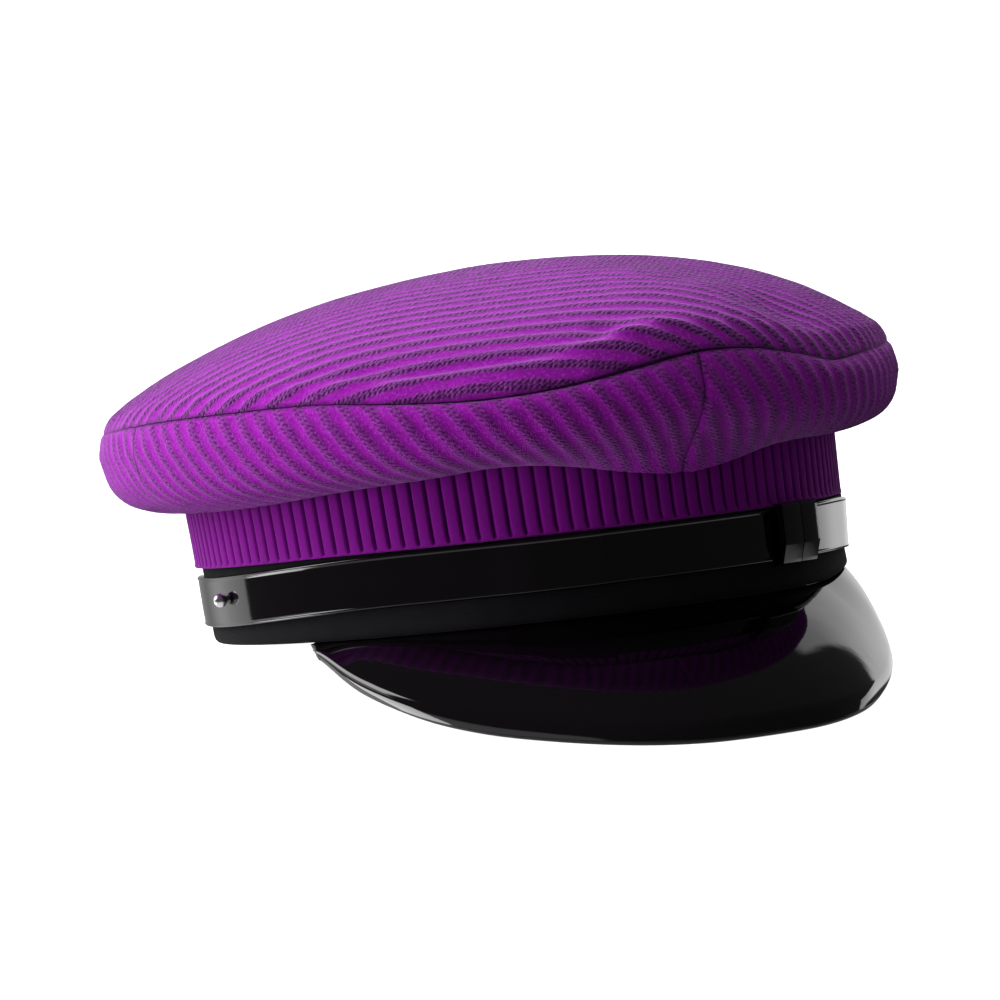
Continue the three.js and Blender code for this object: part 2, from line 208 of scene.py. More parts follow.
def band_point(angle, out, height):
    """A point off the band, which opens a little upwards at its sides and back. Its lower edge is
    drawn up and out beside the peak's end at the wearer's left."""
    start, full, fading, end = drawn_edge["angles"]
    beside_peak = smooth(start, full, wrapped(angle)) * (1 - smooth(fading, end, wrapped(angle)))
    drawn = beside_peak * np.clip(1 - height / drawn_edge["height"], 0, 1)
    height = height + drawn_edge["up"] * drawn
    flare = band_flare * smooth(25, 70, from_front(angle)) * np.clip(height / band["height"], 0, 1)
    out = out + drawn_edge["out"] * drawn + flare
    return oval(band["side"] + out, band["front"] + out, angle, height)


sections = band_point(band_angles[:, None], outline[None, :, 0], outline[None, :, 1])

grosgrain, shader, flow = finish_of("black_grosgrain", {
    "Roughness": 0.85, "Sheen Weight": 0.03, "Sheen Roughness": 0.5, "Specular IOR Level": 0.07})
at = flow.node("ShaderNodeTexCoord", output="Object")
mottle = flow.node("ShaderNodeTexNoise", {}, {"Vector": at, "Scale": 160.0, "Detail": 5.0})
cloudy = flow.node("ShaderNodeTexNoise", {}, {"Vector": at, "Scale": 26.0, "Detail": 3.0})
dye = (mottle * 0.5 + cloudy * 0.5).mixed((0.004, 0.004, 0.005, 1), (0.014, 0.013, 0.016, 1))
woven = flow.node("ShaderNodeTexWave", {"bands_direction": "Z"},
                  {"Vector": at, "Scale": 240.0, "Distortion": 1.2})
weave = flow.node("ShaderNodeBump", {}, {"Strength": 0.25, "Distance": 0.0002, "Height": woven + mottle})
feed(shader, Base_Color=dye, Normal=weave)
piece("black_band_cloth", swept("black_band_cloth", sections, True), "woven_band", "black_band",
      materials=[grosgrain])

# The ribbed band
# A rib-knit band stands between the black band and the crown. It has 140 round ribs with narrow
# grooves between them, and its lower edge is a smooth hem that stands just proud of the black band.
rib = {"count": 140, "proud": 2.0, "flare": 1.1, "set_back": 2.0, "depth": 0.85, "groove": 0.31,
       "bow": 0.3, "hook": 0.06, "top": 43.0, "hem_drop": 0.9}
rib_shift = np.array([-0.9, 0.36, 0])


def rib_point(angle, out, height):
    """A point off the ribs' outer face, which widens and leans back towards the crown."""
    rise = (height - band["height"]) / (rib["top"] - band["height"])
    reach = rib["proud"] + rib["flare"] * rise + out
    knit = oval(band["side"] + reach, band["front"] + reach, angle, height, rib["set_back"] * rise)
    return knit + rib_shift


rib_samples = 12
rib_angles = np.linspace(0, 360, rib["count"] * rib_samples + 1)[:-1]
rib_inner = [(-2.9, 43.0), (-2.9, 34.0), (-2.9, 25.0), (-2.7, 22.7), (-2.2, 22.4), (-0.6, 22.35)]
rib_hem = [(0.0, 22.5), (0.15, 22.7), (0.18, 23.0), (0.12, 23.3), (0.05, 23.7), (0.0, 24.3), (0.0, 25.6)]
rib_outer = [(0.0, up) for up in (28.5, 31.5, 34.5, 37.5, 40.5, 43.0)]
rib_outline = np.array(rib_inner + rib_hem + rib_outer)
is_outer = (rib_outline[:, 0] > -0.3)[None, :]
hem_drop = rib["hem_drop"] * smooth(45, 100, from_front(rib_angles))[:, None]
hem_drop = hem_drop * is_outer * (1 - smooth(23.5, 30, rib_outline[:, 1]))
sections = rib_point(rib_angles[:, None], rib_outline[None, :, 0], rib_outline[None, :, 1])
sections[..., 2] -= hem_drop
above_hem = smooth(22.6, 23.9, rib_outline[:, 1])[None, :]
# The grooves lean a little sideways where they run out into the hem. They are counted from 10, so
# that the count is never below zero.
hook = rib["hook"] * (1 - smooth(23.0, 25.5, rib_outline[:, 1]))[None, :]
rib_turn = np.arange(len(rib_angles))[:, None] / rib_samples + 10 - hook
wall = swept("rib_wall", sections, True,
             attributes={"turn": rib_turn, "groove_share": is_outer * above_hem})
rib_wall = bpy.data.objects.new("rib_wall", wall)
bpy.context.scene.collection.objects.link(rib_wall)

rib_knit, shader, flow = finish_of("rib_knit_purple", {
    "Roughness": 0.85, "Sheen Weight": 0.22, "Sheen Roughness": 0.35, "Sheen Tint": (0.8, 0.4, 1.0, 1.0),
    "Specular IOR Level": 0.12})
at = flow.node("ShaderNodeTexCoord", output="Object")
fuzz = flow.node("ShaderNodeTexNoise", {}, {"Vector": at, "Scale": 900.0, "Detail": 4.0})
soft = flow.node("ShaderNodeTexNoise", {}, {"Vector": at, "Scale": 60.0, "Detail": 2.0})
painted_groove_shade = flow.node("ShaderNodeAttribute", {"attribute_name": "painted_groove_shade"}, output="Fac")
yarn_color = (fuzz * 0.4 + soft * 0.6).mixed((0.145, 0.0013, 0.18, 1), (0.25, 0.004, 0.305, 1))
# The grooves are darkened towards near-black in the colour: painted shade in the recesses.
feed(shader, Base_Color=(painted_groove_shade * 0.5).mixed(yarn_color, (0.03, 0.001, 0.045, 1)))
feed(shader, Normal=flow.node("ShaderNodeBump", {}, {"Strength": 0.3, "Distance": 0.0003, "Height": fuzz}))

ribbing = bpy.data.node_groups.new("Ribbing", "GeometryNodeTree")
for name, kind in (("Geometry", "NodeSocketGeometry"), ("Groove depth", "NodeSocketFloat"),
                   ("Groove width", "NodeSocketFloat"), ("Crown of a rib", "NodeSocketFloat"),
                   ("Finish", "NodeSocketMaterial")):
    ribbing.interface.new_socket(name, in_out="INPUT", socket_type=kind)
ribbing.interface.new_socket("Geometry", in_out="OUTPUT", socket_type="NodeSocketGeometry")
flow = Flow(ribbing)
given = ribbing.nodes.new("NodeGroupInput").outputs
geometry, depth, width, bow, finish = (Flow(ribbing, given[i]) for i in range(5))


def named(name, kind="FLOAT"):
    return flow.node("GeometryNodeInputNamedAttribute", {"data_type": kind}, {"Name": name})


across = 1 - abs(named("turn").maths("FRACT", named("turn")) - 0.5) * 2
groove = (across - (1 - width)).step(0.0, 0.3)
share = named("groove_share")
inset = groove * depth * share + across * across * bow * share
normal = flow.node("GeometryNodeInputNormal")
offset = flow.node("ShaderNodeVectorMath", {"operation": "SCALE"}, {0: normal, "Scale": -inset})
moved = flow.node("GeometryNodeSetPosition", {}, {"Geometry": geometry, "Offset": offset})
# The grooves' share is kept on the points for the painted shade in the rib knit's colour.
stored = flow.node("GeometryNodeStoreNamedAttribute", {"data_type": "FLOAT", "domain": "POINT"},
                   {"Geometry": moved, "Name": "painted_groove_shade", "Value": groove * share})
real = flow.node("GeometryNodeRealizeInstances", {}, {"Geometry": stored})
finished = flow.node("GeometryNodeSetMaterial", {}, {"Geometry": real, "Material": finish})
ribbing.links.new(finished.socket, ribbing.nodes.new("NodeGroupOutput").inputs[0])


def grown(source, tree, values):
    """A plain mesh from an object with a node tree on it, with the tree's inputs set by name."""
    modifier = source.modifiers.new("grow", "NODES")
    modifier.node_group = tree
    for item in tree.interface.items_tree:
        if item.in_out == "INPUT" and item.name in values:
            modifier[item.identifier] = values[item.name]
    evaluated = source.evaluated_get(bpy.context.evaluated_depsgraph_get())
    mesh = bpy.data.meshes.new_from_object(evaluated)
    mesh.name = source.name
    bpy.data.objects.remove(source)
    return mesh


ribs_mesh = grown(rib_wall, ribbing, {"Groove depth": rib["depth"], "Groove width": rib["groove"],
                                      "Crown of a rib": rib["bow"], "Finish": rib_knit})
piece("rib_band_knit", ribs_mesh, "rib_knit", "rib_band", smooth_angle=70)

# The crown's cloth
# The crown is cut from one jacquard knit: a smooth bright purple ground with bands of small dark
# violet zigzags, five and a half millimetres apart. The top is an oval and the side is four panels,
# stuffed softly, so that the side bulges over the ribs and turns under.
crown = {"side": 110.7, "front": 124.0, "back": 7.5, "fullest": 54.5, "seam_out": 0.985, "cloth": 2.0,
         "gap": 0.35}
crown_edge = {
    "angle": (-180, -110, -68, -50, -38, -27, -16, -6,
              4, 12, 21, 29, 38, 57, 110, 180),
    "seam": (62.0, 61.8, 63.2, 62.8, 60.6, 59.4, 60.3, 62.8,
             65.4, 65.0, 62.4, 59.8, 60.8, 63.2, 62.0, 62.0),
    "under": (38.0, 37.6, 37.6, 39.3, 40.0, 40.8, 38.8, 35.8,
              34.2, 35.4, 37.6, 38.8, 39.2, 40.2, 38.8, 38.0)}


def curve_through(table, key, value, column):
    """A smooth curve through a table's rows, read at a value of its key column."""
    x, y = np.array(table[key], float), np.array(table[column], float)
    slope = np.gradient(y, x)
    i = np.clip(np.searchsorted(x, value) - 1, 0, len(x) - 2)
    span = x[i + 1] - x[i]
    t = np.clip((value - x[i]) / span, 0, 1)
    return (y[i] * (2 * t**3 - 3 * t**2 + 1) + slope[i] * span * (t**3 - 2 * t**2 + t)
            + y[i + 1] * (3 * t**2 - 2 * t**3) + slope[i + 1] * span * (t**3 - t**2))


def around(column, angle):
    """The height of the crown's edge seam, or of its underside at the ribs, in a direction."""
    return curve_through(crown_edge, "angle", wrapped(angle), column)


stripe = {"pitch": 5.55, "raised": 2.9, "relief": 0.75, "stroke": 1.62, "slant": 0.7, "rows": 0.66}
stitch = {"width": 0.85, "height": 0.7}
# Two of these colours are painted light: the near-black one laid along the seams is painted shade, and the
# pale lilac one laid on at grazing angles is a painted sheen.
yarn = {"ground": ((0.31, 0.005, 0.40, 1), (0.66, 0.02, 0.79, 1)), "pale_loop": (0.62, 0.13, 0.70, 1),
        "dark_loop": (0.17, 0.006, 0.23, 1), "fuzz": (0.50, 0.13, 0.60, 1),
        "band": ((0.20, 0.012, 0.26, 1), (0.46, 0.10, 0.53, 1)), "stroke": (0.075, 0.005, 0.11, 1),
        "seam": (0.03, 0.001, 0.045, 1)}


def jacquard(name, contrast):
    """The two-coloured knit, on cloth coordinates that run along and across its stripes. A raised
    band has two rows of slanting dark strokes with paler ones between them, like a rope, and the
    contrast says how much these bands differ from the ground. Along the seams the colour is
    darkened, a painted shade, and at grazing angles it turns pale lilac, a painted sheen."""
    material, shader, flow = finish_of(name, {
        "Roughness": 0.9, "Sheen Weight": 0.6, "Sheen Roughness": 0.35, "Sheen Tint": (0.84, 0.45, 1.0, 1.0),
        "Specular IOR Level": 0.1})
    cloth = flow.node("ShaderNodeUVMap", {"uv_map": "cloth"})
    painted_seam_shade = flow.node("ShaderNodeAttribute", {"attribute_name": "painted_seam_shade"}, output="Fac")
    wander = flow.node("ShaderNodeTexNoise", {}, {"Vector": cloth, "Scale": 0.16, "Detail": 3.0})
    loose = flow.node("ShaderNodeTexNoise", {}, {"Vector": cloth, "Scale": 0.5, "Detail": 2.0})
    fine = flow.node("ShaderNodeTexNoise", {},
                     {"Vector": cloth, "Scale": 1.6, "Detail": 4.0, "Roughness": 0.7})
    speck = flow.node("ShaderNodeTexNoise", {},
                      {"Vector": cloth, "Scale": 1.05, "Detail": 3.0, "Roughness": 0.8})
    along = cloth.part(0) + (wander - 0.5) * 2.0 + (loose - 0.5) * 1.6
    across = cloth.part(1) + (wander - 0.5) * 2.2 + (fine - 0.5) * 0.9
    row = across / stripe["pitch"]
    from_band = (row.maths("FRACT", row) - 0.5) * stripe["pitch"]
    band_share = 1 - abs(from_band).step(stripe["raised"] * 0.32, stripe["raised"] * 0.62)

    def strokes(middle, shift):
        beat = (along - from_band * stripe["slant"]) / stripe["stroke"] + shift + (fine - 0.5) * 1.1
        wide = abs(beat.maths("FRACT", beat) - 0.5).step(0.16, 0.4)
        return wide * (1 - abs(from_band - middle + (fine - 0.5) * 1.2).step(0.25, 0.8))

    facing = flow.node("ShaderNodeLayerWeight", {}, {"Blend": 0.5}, output="Facing")
    grazing = facing.step(0.5, 0.9)
    upper, lower = strokes(stripe["rows"], 0.0), strokes(-stripe["rows"], 0.5)
    # At grazing angles the upper row of dark strokes fades, as part of the painted sheen.
    dark = lower.maths("MAXIMUM", lower, upper * (1 - 0.6 * grazing))
    fleck = (1 - dark) * fine.step(0.42, 0.6)
    loops = flow.maths("COSINE", along * (2 * math.pi / stitch["width"]))
    rows = flow.maths("COSINE", across * (2 * math.pi / stitch["height"]))
    plain_knit = loops * rows * 0.5 + 0.5
    shade = wander * 0.3 + loose * 0.2 + fine.step(0.34, 0.66) * 0.3 + plain_knit * 0.2
    ground = shade.mixed(*yarn["ground"])
    ground = (speck.step(0.54, 0.66) * 0.5).mixed(ground, yarn["pale_loop"])
    ground = ((1 - speck.step(0.36, 0.47)) * 0.6).mixed(ground, yarn["dark_loop"])
    # At grazing angles the ground turns pale lilac: a painted sheen.
    ground = (grazing * 0.4).mixed(ground, yarn["fuzz"])
    band_color = fleck.mixed(*yarn["band"])
    color = (band_share * (0.5 + 0.5 * contrast)).mixed(ground, band_color)
    color = (dark * 0.85 * contrast).mixed(color, yarn["stroke"])
    # Next to the seams the colour is darkened towards near-black: painted shade.
    color = (painted_seam_shade * 0.65).mixed(color, yarn["seam"])
    relief = band_share * 0.3 - dark * 0.5 + fine * 0.9 + loose * 0.3 + plain_knit * 0.25
    stitches = flow.node("ShaderNodeBump", {}, {"Strength": 0.8, "Distance": 0.0006, "Height": relief})
    feed(shader, Base_Color=color, Normal=stitches)
    return material


def along_stripes(u, v, lean, offset):
    """Cloth coordinates turned so that the first runs along the stripes and the second across them."""
    cos, sin = math.cos(math.radians(lean)), math.sin(math.radians(lean))
    return np.stack([u * cos + v * sin, v * cos - u * sin - offset], -1)


def raised(points, normals, cloth, share=1.0):
    """The stripes' relief: the dark bands stand up from the bright ground."""
    wave = np.cos(2 * math.pi * (cloth[..., 1] / stripe["pitch"] - 0.5))
    return points + normals * (stripe["relief"] * (wave - 1) / 2 * share)[..., None]


inside_knit, shader, flow = finish_of("inside_of_the_knit", {
    "Roughness": 0.9, "Sheen Weight": 0.4, "Specular IOR Level": 0.15})
cloth_uv = flow.node("ShaderNodeUVMap", {"uv_map": "cloth"})
floats = flow.node("ShaderNodeTexWave", {}, {"Vector": cloth_uv, "Scale": 0.6, "Distortion": 3.0})
feed(shader, Base_Color=floats.mixed((0.05, 0.012, 0.075, 1), (0.17, 0.02, 0.22, 1)))
feed(shader, Normal=flow.node("ShaderNodeBump", {}, {"Strength": 0.5, "Distance": 0.0004, "Height": floats}))

# The crown's side panels
# Four panels meet at the front centre, at each side and at the back. The front is pulled straight
# by its seam, and elsewhere they roll out over the ribs. Each seam is pinched in.
panel_seams = {"front": 3.2, "left": 90.0, "right": -87.0, "back": 180.0}
side_profile = {"row": (0, 1, 2, 3, 4, 5), "out": (0.0, 0.16, 0.42, 0.7, 0.9, 1.0),
                "roll": (0.05, 0.0, 0.06, 0.22, 0.52, 1.0), "straight": (0.0, 0.17, 0.38, 0.6, 0.8, 1.0)}
front_pull = {"angle": 3, "spread": 20}
pinch = {"depth": 0.9, "reach": 1.3, "line": 0.34, "pucker": 0.5, "pucker_reach": 4.0}
puckers = ((41, 1.3), (67, 0.4), (103, 2.1))


def crown_point(angle, share, height):
    return oval(crown["side"] * share, crown["front"] * share, angle, height, crown["back"])


def side_point(angle, row):
    """A point of the side: rows 0 to 5 from the ribs to the fullest line, and 6 at the edge seam."""
    pull = np.exp(-(((angle - front_pull["angle"]) / front_pull["spread"]) ** 2))
    under = around("under", angle)
    low = np.clip(row, 0, 5)
    rolled = curve_through(side_profile, "row", low, "roll")
    straight = curve_through(side_profile, "row", low, "straight")
    height = under + (crown["fullest"] - under) * (rolled + (straight - rolled) * pull)
    clear = crown["gap"] + 0.75 * crown["cloth"] * (0.2 + 0.8 * pull)
    near = rib_point(angle, clear, height)
    out = curve_through(side_profile, "row", low, "out")[..., None]
    lower = near * (1 - out) + crown_point(angle, 1.0, height) * out
    rise = np.clip(row - 5, 0, 1)
    seam = around("seam", angle) - crown["gap"] / 2
    share = 1 - (1 - crown["seam_out"]) * rise**2
    upper = crown_point(angle, share, crown["fullest"] + (seam - crown["fullest"]) * rise)
    return np.where((row > 5)[..., None], upper, lower)


def grid_normals(points, closed=False):
    """Unit normals of a grid of points, from its rows and columns."""
    if closed:
        down = np.roll(points, -1, 0) - np.roll(points, 1, 0)
    else:
        down = np.gradient(points, axis=0)
    normals = np.cross(down, np.gradient(points, axis=1))
    return normals / np.maximum(np.linalg.norm(normals, axis=-1, keepdims=True), 1e-9)


def lengths_along(points, axis):
    """Distances along a grid's rows or columns, from its start."""
    steps = np.linalg.norm(np.diff(points, axis=axis), axis=-1)
    pad = [(0, 0), (0, 0)]
    pad[axis] = (1, 0)
    return np.pad(np.cumsum(steps, axis), pad)


def pulled_in(points, normals, to_seam, angle):
    """The cloth drawn in at its seams, with small uneven puckers beside the stitching."""
    turn = np.radians(angle)[:, None]
    uneven = sum(np.sin(count * turn + start) for count, start in puckers) / len(puckers)
    drawn = pinch["depth"] * np.exp(-to_seam / pinch["reach"])
    drawn = drawn * (1 - 0.7 * smooth(50, 80, from_front(angle)))[:, None]
    beside = np.exp(-to_seam / pinch["pucker_reach"]) * smooth(0, 1.5, to_seam)
    return points - normals * (drawn + pinch["pucker"] * uneven * beside)[..., None]


# The side panels take the same knit with fainter bands than the top, which also lightens them: partly the
# knit's look, partly painted light.
side_knit = jacquard("side_panel_knit", 0.42)
side_lean = -58.0
panel_rows = np.concatenate([np.linspace(0, 5, 34)[:-1], np.linspace(5, 6, 12)])
panel_step = 0.55


def level_line(angles):
    """Distances along the crown's fullest line, from the first of some directions."""
    steps = np.diff(crown_point(angles, 1, crown["fullest"]), axis=0)
    return np.cumsum(np.r_[0, np.linalg.norm(steps, axis=-1)])


def side_panel(name, start, end, node):
    """A side panel from one seam to the next, with its columns closer together at its seams."""
    columns = np.linspace(start + 0.3, end - 0.3, int(abs(end - start) / panel_step))
    columns = np.r_[start + 0.04, start + 0.17, columns, end - 0.17, end - 0.04]
    angle, row = np.meshgrid(columns, panel_rows, indexing="ij")
    points = side_point(angle, row)
    normals = grid_normals(points)
    if (normals[:, -1] * points[:, -1]).sum() < 0:
        normals = -normals
    down = lengths_along(points, 1)
    along = level_line(columns)
    to_seam = np.minimum.reduce([along[:, None] + 0 * down, along[-1] - along[:, None] + 0 * down,
                                 down[:, -1:] - down])
    from_back = level_line(np.linspace(-180, start, 200))[-1]
    cloth = along_stripes((along + from_back)[:, None] + 0 * down, down, side_lean, 0.0)
    outer = raised(points, normals, cloth, (1 - np.exp(-to_seam / 3)) * smooth(0, 11, down))
    outer = pulled_in(outer, normals, to_seam, columns)
    inner = points[:, ::3] - normals[:, ::3] * crown["cloth"]
    inner[:, -1] = outer[:, -1] - np.array([1, 1, 0]) * normals[:, -1] * crown["cloth"] * 0.6
    sections = np.concatenate([outer, inner[:, ::-1]], 1)
    cloth = np.concatenate([cloth, cloth[:, ::3][:, ::-1]], 1)
    # The cloth next to each seam is darkened in its colour, most near the edge seam: painted shade.
    painted_seam_shade = np.exp(-(to_seam / pinch["line"]) ** 2) * (0.4 + 0.6 * smooth(3.0, 5.0, row))
    painted_seam_shade = np.concatenate([painted_seam_shade, np.zeros(inner.shape[:2])], 1)
    mesh = swept(name, sections, False, cloth, len(panel_rows), {"painted_seam_shade": painted_seam_shade})
    return piece(name, mesh, "knit", node, materials=[side_knit, inside_knit])


for name, start, end in (("front_left", panel_seams["front"], panel_seams["left"]),
                         ("front_right", panel_seams["right"], panel_seams["front"]),
                         ("back_left", panel_seams["left"], panel_seams["back"]),
                         ("back_right", -panel_seams["back"], panel_seams["right"])):
    side_panel(f"crown_side_{name}_knit", start, end, f"crown_side_{name}")

# The crown's top
# The oval top is domed by its stuffing and sits a little higher towards the wearer's left. It
# stands steeper at the front, where soft folds are pressed in just inside the edge seam.
dome = {"summit": 97.2, "lean": 4.5, "lean_to": 67, "front_rise": 55}
top_profile = {"radius": (0.0, 0.22, 0.42, 0.6, 0.74, 0.83, 0.9, 0.95, 0.985, 1.0),
               "sides": (1.0, 0.955, 0.87, 0.73, 0.57, 0.44, 0.31, 0.2, 0.09, 0.0),
               "front": (1.0, 0.955, 0.87, 0.74, 0.61, 0.51, 0.39, 0.28, 0.15, 0.0)}
top_lean, top_offset = -30.2, -1.375
top_folds = {"angle": (-34, -5, -9, 25, 66, -113), "radius": (0.955, 0.965, 0.935, 0.9, 0.9, 0.8),
             "wide": (17, 9, 2.5, 6, 28, 30), "long": (0.03, 0.03, 0.03, 0.07, 0.14, 0.25),
             "depth": (1.6, -2.3, 1.3, 2.6, 1.3, 0.7)}


def top_height(angle, radius):
    """The top's height in a direction, at a share of the way from its middle to its edge seam."""
    seam = around("seam", angle) + crown["gap"] / 2
    steep = np.exp(-((angle / dome["front_rise"]) ** 2))
    sides = curve_through(top_profile, "radius", radius, "sides")
    rise = sides + (curve_through(top_profile, "radius", radius, "front") - sides) * steep
    lean = dome["lean"] * radius * (1 - radius**2) * np.cos(np.radians(angle - dome["lean_to"]))
    height = seam + (dome["summit"] - seam) * rise + lean
    for fold_angle, fold_radius, wide, long, depth in zip(*top_folds.values()):
        off_fold = ((angle - fold_angle) / wide) ** 2 + ((radius - fold_radius) / long) ** 2
        height = height - depth * np.exp(-off_fold)
    return height


columns = np.linspace(-180, 180, 641)[:-1]
radii = np.concatenate([np.linspace(0.004, 0.93, 88)[:-1], np.linspace(0.93, 1.0, 17)])
angle, radius = np.meshgrid(columns, radii, indexing="ij")
points = crown_point(angle, crown["seam_out"] * radius, top_height(angle, radius))
normals = grid_normals(points, closed=True)
normals = normals * np.sign(normals[..., 2:3])
from_middle = lengths_along(points, 1)
to_rim = from_middle[:, -1:] - from_middle
level = points[..., :2] - np.array([0, crown["back"]])
flat = level / np.linalg.norm(level, axis=-1, keepdims=True) * from_middle[..., None]
cloth = along_stripes(flat[..., 0], flat[..., 1], top_lean, top_offset)
outer = raised(points, normals, cloth, 1 - np.exp(-to_rim / 3))
outer = pulled_in(outer, normals, to_rim, columns)
inner = points[:, ::4] - normals[:, ::4] * crown["cloth"]
inward = -level[:, -1:] / np.linalg.norm(level[:, -1:], axis=-1, keepdims=True)
seam_allowance = ((1.7, 0.0), (1.7, 3.0), (2.6, 3.0), (2.6, 0.0))
turned = np.concatenate([outer[:, -1:] + np.concatenate([inward * into, 0 * inward[..., :1] - down], -1)
                         for into, down in seam_allowance], 1)
inner[:, -1] = inner[:, -2] * 0.2 + turned[:, -1] * 0.8
sections = np.concatenate([outer, turned, inner[:, ::-1]], 1)
cloth = np.concatenate([cloth, np.repeat(cloth[:, -1:], turned.shape[1], 1), cloth[:, ::4][:, ::-1]], 1)
hidden = np.zeros((len(columns), turned.shape[1] + inner.shape[1]))
# The cloth next to the edge seam is darkened in its colour: painted shade.
painted_seam_shade = np.concatenate([np.exp(-(to_rim / pinch["line"]) ** 2), hidden], 1)
top_mesh = swept("crown_top_knit", sections, True, cloth, len(radii), {"painted_seam_shade": painted_seam_shade})
piece("crown_top_knit", top_mesh, "knit", "crown_top", materials=[jacquard("top_knit", 1.12), inside_knit])

# The patent-leather strap
# Two lengths of black patent leather with pressed edges lie against the black band. The upper one
# starts at the wearer's right stud and covers the start of the lower one, which goes on through the
# keeper to the left stud.
strap = {"width": 14.0, "thickness": 1.4, "lip": 0.22, "height": 14.8, "drop": 2.7, "end": 117,
         "gap": 0.35}
overlap = {"end": -13, "hidden": -23, "ramp": -33, "over_lips": 0.4}


def strap_height(angle):
    """The height of the strap's middle line, which sinks a little towards the back."""
    return strap["height"] - strap["drop"] * smooth(45, 100, np.abs(angle))


def patent(name, roughness=0.06):
    """Black patent leather: a glassy coat over near-black leather, slightly wavy."""
    material, shader, flow = finish_of(name, {
        "Base Color": (0.004, 0.0025, 0.004, 1), "Roughness": roughness, "Specular IOR Level": 0.5})
    at = flow.node("ShaderNodeTexCoord", output="Object")
    wave = flow.node("ShaderNodeTexNoise", {}, {"Vector": at, "Scale": 38.0, "Detail": 2.0})
    grain = flow.node("ShaderNodeTexNoise", {}, {"Vector": at, "Scale": 420.0, "Detail": 2.0})
    uneven = flow.node("ShaderNodeBump", {}, {"Strength": 0.35, "Distance": 0.0004,
                                              "Height": wave + grain * 0.05})
    feed(shader, Normal=uneven)
    return material


strap_patent = patent("patent_leather_strap")
half, thick, lip = strap["width"] / 2, strap["thickness"], strap["lip"]
lower_lip = [(0.0, 0.3), (0.2, 0.05), (0.6, 0.0), (1.1, 0.07), (1.45, 0.3), (thick + lip, 0.7),
             (thick + lip * 0.5, 0.92), (thick, 1.12), (thick + 0.01, 1.5), (thick + 0.04, 3.6)]
strap_outline = np.array([(out, up - half) for out, up in lower_lip]
                         + [(out, half - up) for out, up in lower_lip[::-1]])


def strap_length(name, start, end, lift, worn, node):
    """A length of the strap, lifted off the band by a function and worn thin past the keeper."""
    stations = np.linspace(start, end, int((end - start) / 0.7))
    thin = 1 - worn * smooth(32, 48, stations)
    sections = band_point(stations[:, None], (strap["gap"] + strap_outline[None, :, 0]) * thin[:, None]
                          + lift(stations)[:, None],
                          strap_height(stations)[:, None] + strap_outline[None, :, 1])
    return piece(name, swept(name, sections, False), "patent_leather", node, materials=[strap_patent],
                 smooth_angle=50)


def over_the_lower(angle):
    lift = thick + overlap["over_lips"] + strap["gap"]
    return lift * smooth(overlap["ramp"], overlap["hidden"] - 1, angle)


strap_length("strap_upper_leather", -strap["end"], overlap["end"], over_the_lower, 0.0, "strap_upper")
strap_length("strap_lower_leather", overlap["hidden"], strap["end"], np.zeros_like, 0.35, "strap_lower")

# The keeper
# A loop of the same leather holds the strap in front of the wearer's left temple. Its face is
# pressed into two round ridges.
keeper = {"angle": 26.5, "length": 15.0, "inside": 3.3, "leather": 1.1, "ridge": 1.2, "groove": 0.012,
          "bend": 5.6, "top_foot": 2.5, "bottom_foot": 0.5}
ridge_half = (0.5 - keeper["groove"]) / 2
half_places = keeper["groove"] + ridge_half * (1 + np.linspace(-1, 1, 19))
half_places = np.r_[0.0, keeper["groove"] * 0.8, half_places]
place = np.r_[-half_places[:0:-1], half_places]
turn = math.degrees(keeper["length"] / band["side"])
stations = keeper["angle"] + place * turn
on_ridge = (np.abs(place) - keeper["groove"] - ridge_half) / ridge_half
ridges = np.where(np.abs(place) < keeper["groove"], 0.25, 1 - 0.12 * on_ridge**2)
face = keeper["inside"] + keeper["leather"] + keeper["ridge"] * ridges
hold = half + strap["gap"]
reach = hold + 0.8 * keeper["leather"]
ones = np.ones(len(place))
ring = [(keeper["bottom_foot"] * ones, -reach), (face - 2.9, -reach), (face - 2.2, -reach + 0.1),
        (face - 1.8, -reach + 0.35), (face - 1.55, -reach + 0.8), (face - 1.4, -reach + 1.3),
        (face - 0.12, -reach + keeper["bend"] - 0.4), (face - 0.03, -reach + keeper["bend"]),
        (face, -reach + keeper["bend"] + 0.4), (face, reach - 1.5), (face - 0.06, reach - 0.8),
        (face - 0.3, reach - 0.3), (face - 0.8, reach - 0.06), (keeper["top_foot"] * ones, reach),
        (keeper["top_foot"] * ones, hold), (keeper["inside"] * ones, hold),
        (keeper["inside"] * ones, -hold), (keeper["bottom_foot"] * ones, -hold)]
sections = np.stack([band_point(stations, out, strap_height(stations) + up) for out, up in ring], 1)
piece("keeper_leather", swept("keeper_leather", sections, False), "patent_leather", "keeper",
      materials=[strap_patent], smooth_angle=35)

